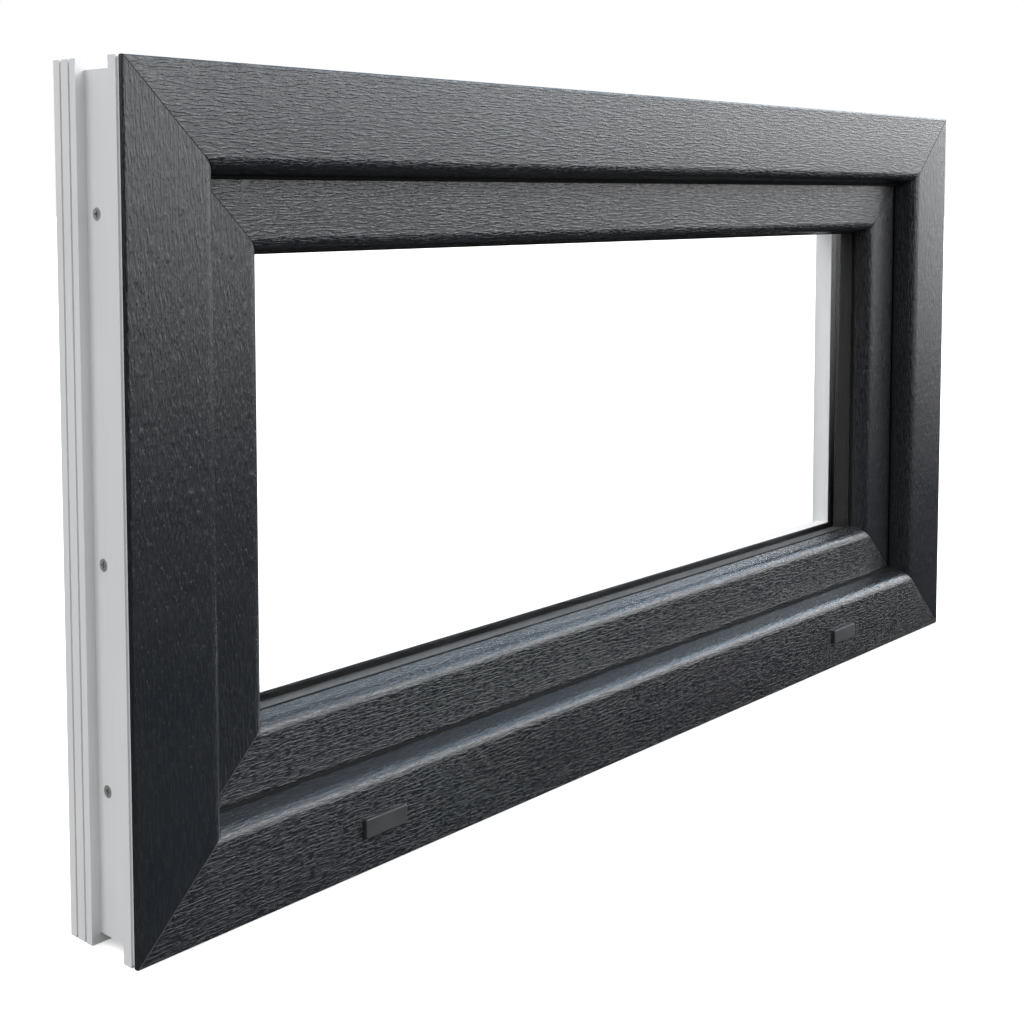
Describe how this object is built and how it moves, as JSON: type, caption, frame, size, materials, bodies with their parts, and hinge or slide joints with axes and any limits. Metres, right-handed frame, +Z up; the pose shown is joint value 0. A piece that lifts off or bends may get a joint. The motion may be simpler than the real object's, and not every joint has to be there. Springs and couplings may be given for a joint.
{
  "type": "tilting window unit",
  "caption": "Low wide window unit: mitred frame with dark grained foil outside and white inside, holding a bottom-hung sealed-glass sash that tilts into the room.",
  "frame": {"origin": "middle of the whole unit's footprint, on the surface it stands on; the exterior face is at y = -0.0695 and the frame's room-side face at y = 0.0005", "axes": "+X along the width, to the right seen from outside; +Y from the exterior into the room; +Z up"},
  "size_m": [1, 0.145, 0.53],
  "materials": {
    "white_profile": "satin white profile plastic",
    "anthracite_foil": "dark grey foil embossed with fine wood grain",
    "seam_lacquer": "dark lacquer in the weld seams",
    "zinc_steel": "zinc plated",
    "screw_steel": "zinc plated",
    "black_seal": "matt black",
    "edge_sealant": "matt black",
    "spacer_black": "black warm-edge spacer",
    "clear_glass": "clear float glass",
    "block_plastic": "moulded",
    "cap_plastic": "moulded dark grey",
    "white_coating": "white powder coat"
  },
  "bodies": {
    "frame": {"frame_sill": "white_profile", "frame_head": "white_profile", "frame_left": "white_profile", "frame_right": "white_profile", "frame_foil_sill": "anthracite_foil", "frame_foil_head": "anthracite_foil", "frame_foil_left": "anthracite_foil", "frame_foil_right": "anthracite_foil", "frame_seams": "seam_lacquer", "frame_steels": "zinc_steel", "frame_channel_screws": "screw_steel", "frame_fitting_screws": "screw_steel", "frame_seal": "black_seal", "drain_caps": "cap_plastic", "strikers": "zinc_steel", "hinge_frame_leaves": "white_coating", "hinge_pins": "zinc_steel", "stay_frame_plates": "zinc_steel"},
    "sash": {"sash_sill": "white_profile", "sash_head": "white_profile", "sash_left": "white_profile", "sash_right": "white_profile", "sash_foil_sill": "anthracite_foil", "sash_foil_head": "anthracite_foil", "sash_foil_left": "anthracite_foil", "sash_foil_right": "anthracite_foil", "sash_seams": "seam_lacquer", "sash_steels": "zinc_steel", "sash_fitting_screws": "screw_steel", "sash_seal": "black_seal", "glazing_seal_outside": "black_seal", "glazing_seal_inside": "black_seal", "pane_outside": "clear_glass", "pane_inside": "clear_glass", "edge_seal": "edge_sealant", "spacer_bar": "spacer_black", "setting_blocks": "block_plastic", "glazing_bead_sill": "white_profile", "glazing_bead_head": "white_profile", "glazing_bead_left": "white_profile", "glazing_bead_right": "white_profile", "lock_faceplate": "zinc_steel", "gearbox_case": "zinc_steel", "rosette_base": "block_plastic", "rosette_cover": "white_coating", "rosette_screws": "screw_steel", "hinge_sash_leaves": "white_coating", "stay_sash_plates": "zinc_steel"},
    "handle": {"handle_lever": "white_coating", "handle_spindle": "zinc_steel", "gearbox_pinion": "zinc_steel"},
    "drive_rod": {"drive_rod": "zinc_steel", "lock_cams": "zinc_steel"},
    "stay_frame_arm_left": {"stay_frame_arm_left": "zinc_steel"},
    "stay_frame_arm_right": {"stay_frame_arm_right": "zinc_steel"},
    "stay_sash_arm_left": {"stay_sash_arm_left": "zinc_steel"},
    "stay_sash_arm_right": {"stay_sash_arm_right": "zinc_steel"}
  },
  "joints": [
    {"name": "sash_tilt", "type": "hinge", "parent": "frame", "child": "sash", "pos_m": [0, 0.0095, 0.031], "axis": [-1, 0, 0], "range_deg": [0, 20]},
    {"name": "handle_turn", "type": "hinge", "parent": "sash", "child": "handle", "pos_m": [0, -0.0175, 0.45182], "axis": [0, 1, 0], "range_deg": [0, 90]},
    {"name": "rod_slide", "type": "slide", "parent": "sash", "child": "drive_rod", "axis": [1, 0, 0], "range_m": [0, 0.0165]},
    {"name": "stay_left_frame_pivot", "type": "hinge", "parent": "frame", "child": "stay_frame_arm_left", "pos_m": [-0.45, -0.0175, 0.4], "axis": [1, 0, 0], "range_deg": [0, 8.76]},
    {"name": "stay_left_sash_pivot", "type": "hinge", "parent": "sash", "child": "stay_sash_arm_left", "pos_m": [-0.45, -0.0175, 0.4], "axis": [-1, 0, 0], "range_deg": [0, 8.76]},
    {"name": "stay_right_frame_pivot", "type": "hinge", "parent": "frame", "child": "stay_frame_arm_right", "pos_m": [0.45, -0.0175, 0.4], "axis": [1, 0, 0], "range_deg": [0, 8.76]},
    {"name": "stay_right_sash_pivot", "type": "hinge", "parent": "sash", "child": "stay_sash_arm_right", "pos_m": [0.45, -0.0175, 0.4], "axis": [-1, 0, 0], "range_deg": [0, 8.76]}
  ],
  "couplings": [
    {"joint": "rod_slide", "follows": "handle_turn", "m_per_rad": 0.0105},
    {"joint": "stay_left_frame_pivot", "follows": "sash_tilt", "ratio": 0.4379},
    {"joint": "stay_left_sash_pivot", "follows": "sash_tilt", "ratio": 0.4379},
    {"joint": "stay_right_frame_pivot", "follows": "sash_tilt", "ratio": 0.4379},
    {"joint": "stay_right_sash_pivot", "follows": "sash_tilt", "ratio": 0.4379}
  ]
}
